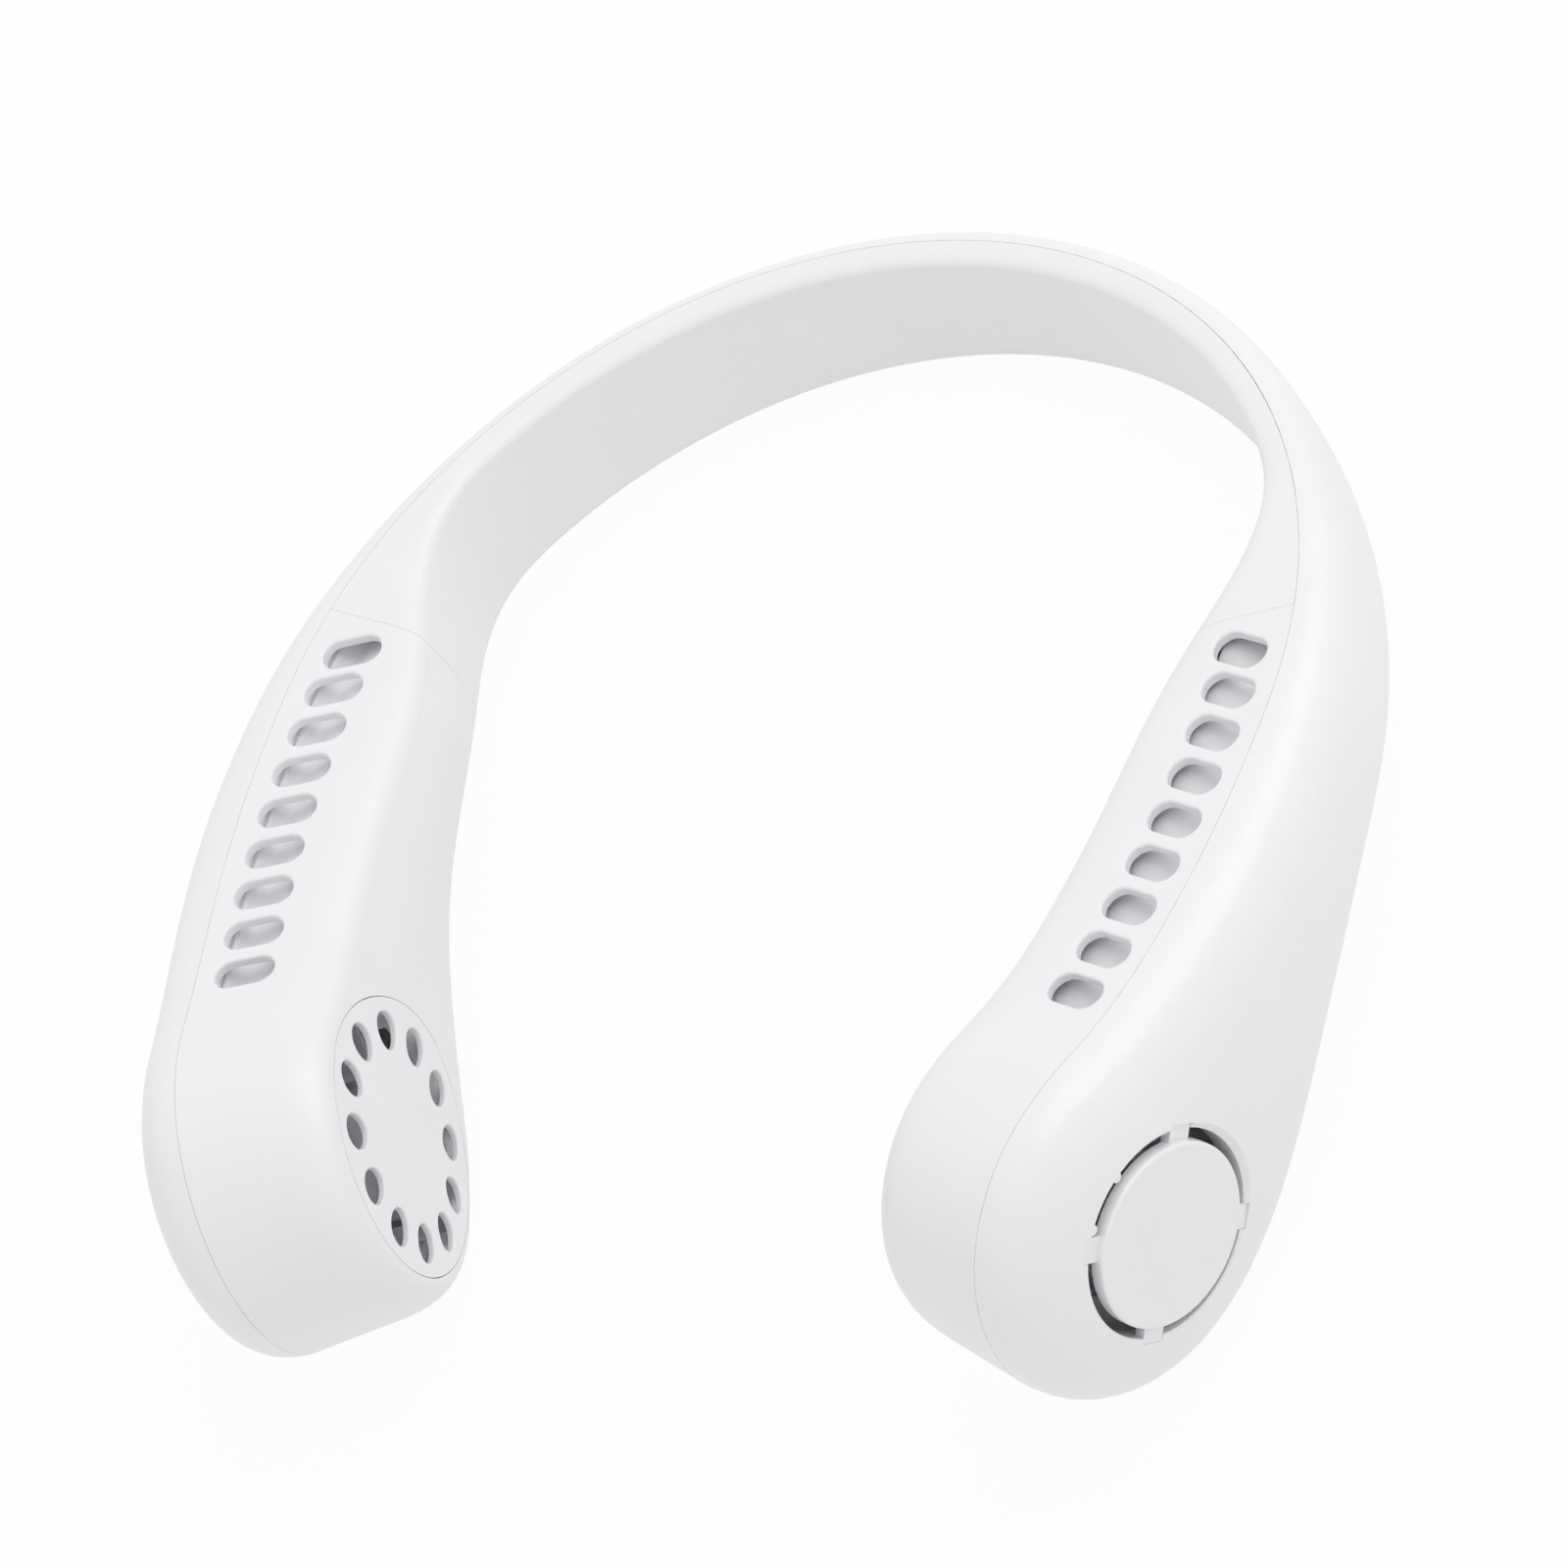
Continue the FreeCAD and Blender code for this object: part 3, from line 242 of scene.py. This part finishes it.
def moulded_abs(name, deep, pale, roughness):
    """Injection-moulded ABS with a fine grain; deep and pale are the ends of its colour drift."""
    material, tree, place = new_material(name)
    flow = add_node(tree, "ShaderNodeTexNoise", {
        "Vector": place, "Scale": per_metre(FLOW_MM), "Detail": 3.0})
    grain = add_node(tree, "ShaderNodeTexNoise", {
        "Vector": place, "Scale": per_metre(GRAIN_MM), "Detail": 2.0})
    gloss = add_node(tree, "ShaderNodeMapRange", {
        "Value": flow.outputs[0], "To Min": roughness - GLOSS_DRIFT, "To Max": roughness + GLOSS_DRIFT})
    bump = add_node(tree, "ShaderNodeBump", {
        "Height": grain.outputs[0], "Distance": GRAIN_HEIGHT_MM * MM})
    surface = add_node(tree, "ShaderNodeBsdfPrincipled", {
        "Base Color": blend_colours(tree, flow.outputs[0], deep, pale), "Roughness": gloss.outputs[0],
        "Normal": bump.outputs[0], "IOR": ABS_IOR})
    add_node(tree, "ShaderNodeOutputMaterial", {"Surface": surface.outputs[0]})
    return material


satin_white_abs = moulded_abs("satin_white_abs", "#ECECEE", "#F1F1F3", roughness=0.34)
satin_white_inner_abs = moulded_abs("satin_white_inner_abs", "#ECECEE", "#F0F0F2", roughness=0.36)
# painted light: the plates inside are drawn a touch paler than the shells, so their shaded hollows read
# lighter
dull_white_abs_painted_lighter = moulded_abs("dull_white_abs_painted_lighter", "#EFEFF1", "#F4F4F6", roughness=0.62)
pale_grey_abs = moulded_abs("pale_grey_abs", "#EAEAEC", "#EFEFF1", roughness=0.55)
black_abs = moulded_abs("black_abs", "#151516", "#1D1D1E", roughness=0.5)
print("five moulded plastics")

# %% [markdown]
# ## Metals
# The motor can, the shafts, the screws and the shell of the charge socket are nickel-plated steel: a
# bright metal whose drawing or turning leaves fine streaks of more and less gloss. Stretched noise
# gives the streaks, drawn coarser than they are so that they show. The bush is sintered bronze, pressed
# from powder, so it is duller and speckled with oil-dark pores.

# %% Nickel-plated steel and sintered bronze
STREAK_MM = 0.4
STREAK_STRETCH = 12.0
STEEL_SMOOTHEST, STEEL_ROUGHEST = 0.3, 0.5
PORE_MM = 0.35
PORE_EDGE = 0.5
PORE_DEPTH_MM = 0.03


def nickel_plated_steel():
    """Bright plated steel with fine streaks along Z."""
    material, tree, place = new_material("nickel_plated_steel")
    stretch = add_node(tree, "ShaderNodeMapping", {"Vector": place, "Scale": (1, 1, 1 / STREAK_STRETCH)})
    streak = add_node(tree, "ShaderNodeTexNoise", {
        "Vector": stretch.outputs[0], "Scale": per_metre(STREAK_MM), "Detail": 4.0})
    gloss = add_node(tree, "ShaderNodeMapRange", {
        "Value": streak.outputs[0], "To Min": STEEL_SMOOTHEST, "To Max": STEEL_ROUGHEST})
    surface = add_node(tree, "ShaderNodeBsdfPrincipled", {
        "Base Color": blend_colours(tree, streak.outputs[0], "#C8C8C6", "#D8D8D6"), "Metallic": 1.0,
        "Roughness": gloss.outputs[0]})
    add_node(tree, "ShaderNodeOutputMaterial", {"Surface": surface.outputs[0]})
    return material


def sintered_bronze():
    """Pressed bronze powder with dark, oily pores, drawn a little coarser than they are."""
    material, tree, place = new_material("sintered_bronze")
    pore = add_node(tree, "ShaderNodeTexVoronoi", {"Vector": place, "Scale": per_metre(PORE_MM)})
    edge = add_node(tree, "ShaderNodeMapRange", {
        "Value": pore.outputs["Distance"], "From Max": PORE_EDGE})
    bump = add_node(tree, "ShaderNodeBump", {"Height": edge.outputs[0], "Distance": PORE_DEPTH_MM * MM})
    surface = add_node(tree, "ShaderNodeBsdfPrincipled", {
        "Base Color": blend_colours(tree, edge.outputs[0], "#5E4526", "#A97F46"), "Metallic": 1.0,
        "Roughness": 0.45, "Normal": bump.outputs[0]})
    add_node(tree, "ShaderNodeOutputMaterial", {"Surface": surface.outputs[0]})
    return material


plated_steel = nickel_plated_steel()
bush_bronze = sintered_bronze()
print("materials:", plated_steel.name, bush_bronze.name)

# %% [markdown]
# ## Cells and their tape
# The cells are lithium pouches in aluminium foil, faintly wrinkled where the foil was folded. They lie
# on black foam tape, which is matt because its open cells swallow the light. Noise gives the soft
# wrinkles, and the round cells of a Voronoi texture give the foam.

# %% Pouch foil and foam tape
WRINKLE_MM = 5.0
WRINKLE_HEIGHT_MM = 0.3
FOAM_CELL_MM = 0.8
FOAM_DEPTH_MM = 0.2


def pouch_foil():
    """Aluminium laminate with shallow wrinkles."""
    material, tree, place = new_material("pouch_foil")
    wrinkle = add_node(tree, "ShaderNodeTexNoise", {
        "Vector": place, "Scale": per_metre(WRINKLE_MM), "Detail": 3.0})
    bump = add_node(tree, "ShaderNodeBump", {
        "Height": wrinkle.outputs[0], "Distance": WRINKLE_HEIGHT_MM * MM})
    surface = add_node(tree, "ShaderNodeBsdfPrincipled", {
        "Base Color": blend_colours(tree, wrinkle.outputs[0], "#A9AAAD", "#BFC0C3"), "Metallic": 1.0,
        "Roughness": 0.38, "Normal": bump.outputs[0]})
    add_node(tree, "ShaderNodeOutputMaterial", {"Surface": surface.outputs[0]})
    return material


def foam_tape():
    """Black foam with open cells."""
    material, tree, place = new_material("foam_tape")
    cell = add_node(tree, "ShaderNodeTexVoronoi", {"Vector": place, "Scale": per_metre(FOAM_CELL_MM)})
    bump = add_node(tree, "ShaderNodeBump", {
        "Height": cell.outputs["Distance"], "Distance": FOAM_DEPTH_MM * MM})
    surface = add_node(tree, "ShaderNodeBsdfPrincipled", {
        "Base Color": blend_colours(tree, cell.outputs["Distance"], "#1B1B1C", "#323234"),
        "Roughness": 0.95, "Normal": bump.outputs[0]})
    add_node(tree, "ShaderNodeOutputMaterial", {"Surface": surface.outputs[0]})
    return material


cell_foil = pouch_foil()
cell_tape = foam_tape()
print("materials:", cell_foil.name, cell_tape.name)

# %% [markdown]
# ## Board, charge light and leads
# The board is glass fibre under green solder resist, with copper tracks that show through as paler,
# raised lines. The charge light shines through a small pipe of clear polycarbonate, frosted so that it
# glows evenly. The leads have soft grey insulation, an extruded plastic that looks much like a moulded
# one, so it takes the same recipe. With these, every slot of the model has its finish.

# %% Solder resist, light pipe and finishes by slot
TRACK_MM = 2.4
TRACK_CORE, TRACK_EDGE = 0.06, 0.1
TRACK_HEIGHT_MM = 0.03
PIPE_SMOOTHEST, PIPE_ROUGHEST = 0.15, 0.3
POLYCARBONATE_IOR = 1.585


def solder_resist():
    """Green resist over copper tracks."""
    material, tree, place = new_material("solder_resist")
    track = add_node(tree, "ShaderNodeTexVoronoi", {
        "Vector": place, "Scale": per_metre(TRACK_MM)}, distance="MANHATTAN", feature="DISTANCE_TO_EDGE")
    line = add_node(tree, "ShaderNodeMapRange", {
        "Value": track.outputs["Distance"], "From Min": TRACK_CORE, "From Max": TRACK_EDGE})
    bump = add_node(tree, "ShaderNodeBump", {
        "Height": line.outputs[0], "Distance": TRACK_HEIGHT_MM * MM}, invert=True)
    surface = add_node(tree, "ShaderNodeBsdfPrincipled", {
        "Base Color": blend_colours(tree, line.outputs[0], "#3C8A55", "#1D5B34"), "Roughness": 0.3,
        "Normal": bump.outputs[0]})
    add_node(tree, "ShaderNodeOutputMaterial", {"Surface": surface.outputs[0]})
    return material


def light_pipe():
    """Clear polycarbonate, faintly frosted, that carries the lamp's light to the outside."""
    material, tree, place = new_material("frosted_polycarbonate")
    frost = add_node(tree, "ShaderNodeTexNoise", {
        "Vector": place, "Scale": per_metre(GRAIN_MM), "Detail": 2.0})
    gloss = add_node(tree, "ShaderNodeMapRange", {
        "Value": frost.outputs[0], "To Min": PIPE_SMOOTHEST, "To Max": PIPE_ROUGHEST})
    surface = add_node(tree, "ShaderNodeBsdfPrincipled", {
        "Base Color": blend_colours(tree, frost.outputs[0], "#E4E8EA", "#F2F4F5"),
        "Roughness": gloss.outputs[0], "IOR": POLYCARBONATE_IOR, "Transmission Weight": 0.8})
    add_node(tree, "ShaderNodeOutputMaterial", {"Surface": surface.outputs[0]})
    return material


FINISHES = {
    "outer_shell": satin_white_abs,
    "inner_shell": satin_white_inner_abs,
    "inner_plastic": dull_white_abs_painted_lighter,
    "fan_wheel": pale_grey_abs,
    "steel": plated_steel,
    "bush": bush_bronze,
    "cell_wrap": cell_foil,
    "foam": cell_tape,
    "board": solder_resist(),
    "switch": black_abs,
    "lens": light_pipe(),
    "lead": moulded_abs("soft_grey_insulation", "#BEBEC1", "#C9C9CC", roughness=0.55),
}
print(len(FINISHES), "finishes by slot")

# %% [markdown]
# ## Smooth skins over the model
# The model arrives as loose flat triangles, which would show as facets. A copy of each piece is merged
# at its shared corners and shaded smooth, while every real edge, such as a parting line, stays sharp.
# The Weighted Normal modifier then lets the large faces lead, so flat areas stay flat up to their edge.
# The copy stands for the original piece and rides on the same body.

# %% Skins
MERGE_DISTANCE = 0.002 * MM
SHARP_ANGLE = math.radians(35)
record = frame["record"]
slots = {part["node"]: part["material_slot"] for part in record["subparts"]}
bodies = {node: body for body, members in record["behaviour"]["bodies"].items() for node in members}


def skin(name):
    """A smooth copy of one piece, in its finish."""
    form = bmesh.new()
    form.from_mesh(nodes[name].data)
    bmesh.ops.remove_doubles(form, verts=form.verts[:], dist=MERGE_DISTANCE)
    for face in form.faces:
        face.smooth = True
    for edge in form.edges:
        edge.smooth = len(edge.link_faces) == 2 and edge.calc_face_angle() < SHARP_ANGLE
    mesh = bpy.data.meshes.new(name + "_skin")
    form.to_mesh(mesh)
    form.free()
    mesh.materials.append(FINISHES[slots[name]])
    copy = bpy.data.objects.new(name + "_skin", mesh)
    scene.collection.objects.link(copy)
    copy.modifiers.new("even_shading", "WEIGHTED_NORMAL").keep_sharp = True
    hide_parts(name)
    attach(copy, bodies[name])
    return copy


skins = {name: skin(name) for name in sorted(nodes)}
print(len(skins), "skins with", sum(len(copy.data.polygons) for copy in skins.values()), "faces")

# %% [markdown]
# ## Where the air channel springs from
# Through the slots one looks on a pale trough a few millimetres down, which leads the air along the
# arm. It springs from the duct plate, so its line is read off that plate: the edges where the plate's
# inner face meets its narrow top. Reading it keeps the trough on the plate when the plate changes.

# %% Line along a duct plate
CHANNEL_START_MM = 13.5
CHANNEL_OVERRUN_MM = 3.5
PLATE_RISE_MM = 5.0
FACING = 0.6  # a face looks one way when its normal points at least this far along it


def channel_line(name, inward):
    """Points along the top of a plate's inner face, from the fan to the band, each with its normal."""
    form = bmesh.new()
    form.from_mesh(skins[name].data)
    line = {}
    for edge in form.edges:
        inner = [face for face in edge.link_faces if face.normal.x * inward > FACING]
        top = [face for face in edge.link_faces if face.normal.z > FACING]
        if inner and top:
            for corner in edge.verts:
                line[corner.index] = (corner.co.copy(), inner[0].normal.copy())
    form.free()
    low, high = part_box(name.replace("duct_plate", "motor_can"))
    start = (Vector(low) + Vector(high)) / 2 + Vector((0, CHANNEL_START_MM, PLATE_RISE_MM)) * MM
    chosen = [point for point in line.values() if point[0].y > start.y and point[0].z > start.z]
    chosen.sort(key=lambda point: point[0].y)
    (last, normal), (before, _) = chosen[-1], chosen[-2]
    return chosen + [(last + (last - before).normalized() * CHANNEL_OVERRUN_MM * MM, normal)]


channel_lines = {
    "left": channel_line("left_duct_plate", 1),
    "right": channel_line("right_duct_plate", -1),
}
print("points along the plates:", {side: len(line) for side, line in channel_lines.items()})

# %% [markdown]
# ## Floor of the air channel
# The trough leaves the plate in a quarter round, rises gently inwards and ends in the open. Its line is
# a row of edges, so the trough is extruded from it step by step. Each point keeps the number of its
# place on the line, which tells where the next step puts it. Solidify then gives the sheet its wall.

# %% Air channels
CHANNEL_DEPTH_MM = 4.6
FREE_EDGE_DEPTH_MM = 2.0
CHANNEL_WIDE_MM = 16.0
CHANNEL_NARROW_MM = 9.5
CHANNEL_ROUND_MM = 3.2
CHANNEL_WALL_MM = 1.0
ROUND_STEPS = 6


def channel_profile():
    """Steps across the trough: inward millimetres of its round, share of its flat, and depth."""
    start_mm = CHANNEL_DEPTH_MM - CHANNEL_ROUND_MM
    steps = []
    for number in range(ROUND_STEPS + 1):
        angle = math.pi / 2 * number / ROUND_STEPS
        inward_mm = CHANNEL_ROUND_MM * (1 - math.cos(angle))
        steps.append((inward_mm, 0, start_mm + CHANNEL_ROUND_MM * math.sin(angle)))
    return steps + [(CHANNEL_ROUND_MM, 1, FREE_EDGE_DEPTH_MM)]


def place_corner(line, place, step):
    """Where a point of the line lies after one step of the profile."""
    round_mm, flat_share, depth_mm = step
    point, normal = line[place]
    ahead = line[min(place + 1, len(line) - 1)][0] - line[max(place - 1, 0)][0]
    down = ahead.cross(normal).normalized()
    down *= -1 if down.z > 0 else 1
    along = (point.y - line[0][0].y) / (line[-1][0].y - line[0][0].y)
    width_mm = CHANNEL_WIDE_MM + (CHANNEL_NARROW_MM - CHANNEL_WIDE_MM) * along
    inward_mm = round_mm + flat_share * (width_mm - CHANNEL_ROUND_MM)
    return point + (normal * inward_mm + down * depth_mm) * MM


def air_channel(side):
    """The trough that springs from one duct plate."""
    line = channel_lines[side]
    first, *steps = channel_profile()
    form = bmesh.new()
    number = form.verts.layers.int.new("place")
    row = [form.verts.new(place_corner(line, place, first)) for place in range(len(line))]
    for place, corner in enumerate(row):
        corner[number] = place
    edges = [form.edges.new(pair) for pair in zip(row, row[1:])]
    for step in steps:
        grown = bmesh.ops.extrude_edge_only(form, edges=edges)["geom"]
        edges = [item for item in grown if isinstance(item, bmesh.types.BMEdge)]
        for corner in [item for item in grown if isinstance(item, bmesh.types.BMVert)]:
            corner.co = place_corner(line, corner[number], step)
    for face in form.faces:
        face.smooth = True
    bmesh.ops.recalc_face_normals(form, faces=form.faces[:])
    mesh = bpy.data.meshes.new(side + "_air_channel")
    form.to_mesh(mesh)
    form.free()
    # the trough takes the plates' plastic, drawn a touch paler than the shells as painted light in the
    # hollows
    mesh.materials.append(dull_white_abs_painted_lighter)
    piece = bpy.data.objects.new(side + "_air_channel", mesh)
    scene.collection.objects.link(piece)
    piece.modifiers.new("wall", "SOLIDIFY").thickness = CHANNEL_WALL_MM * MM
    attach(piece, "housing")
    print(piece.name, "of", len(mesh.polygons), "faces")


air_channel("left")
air_channel("right")
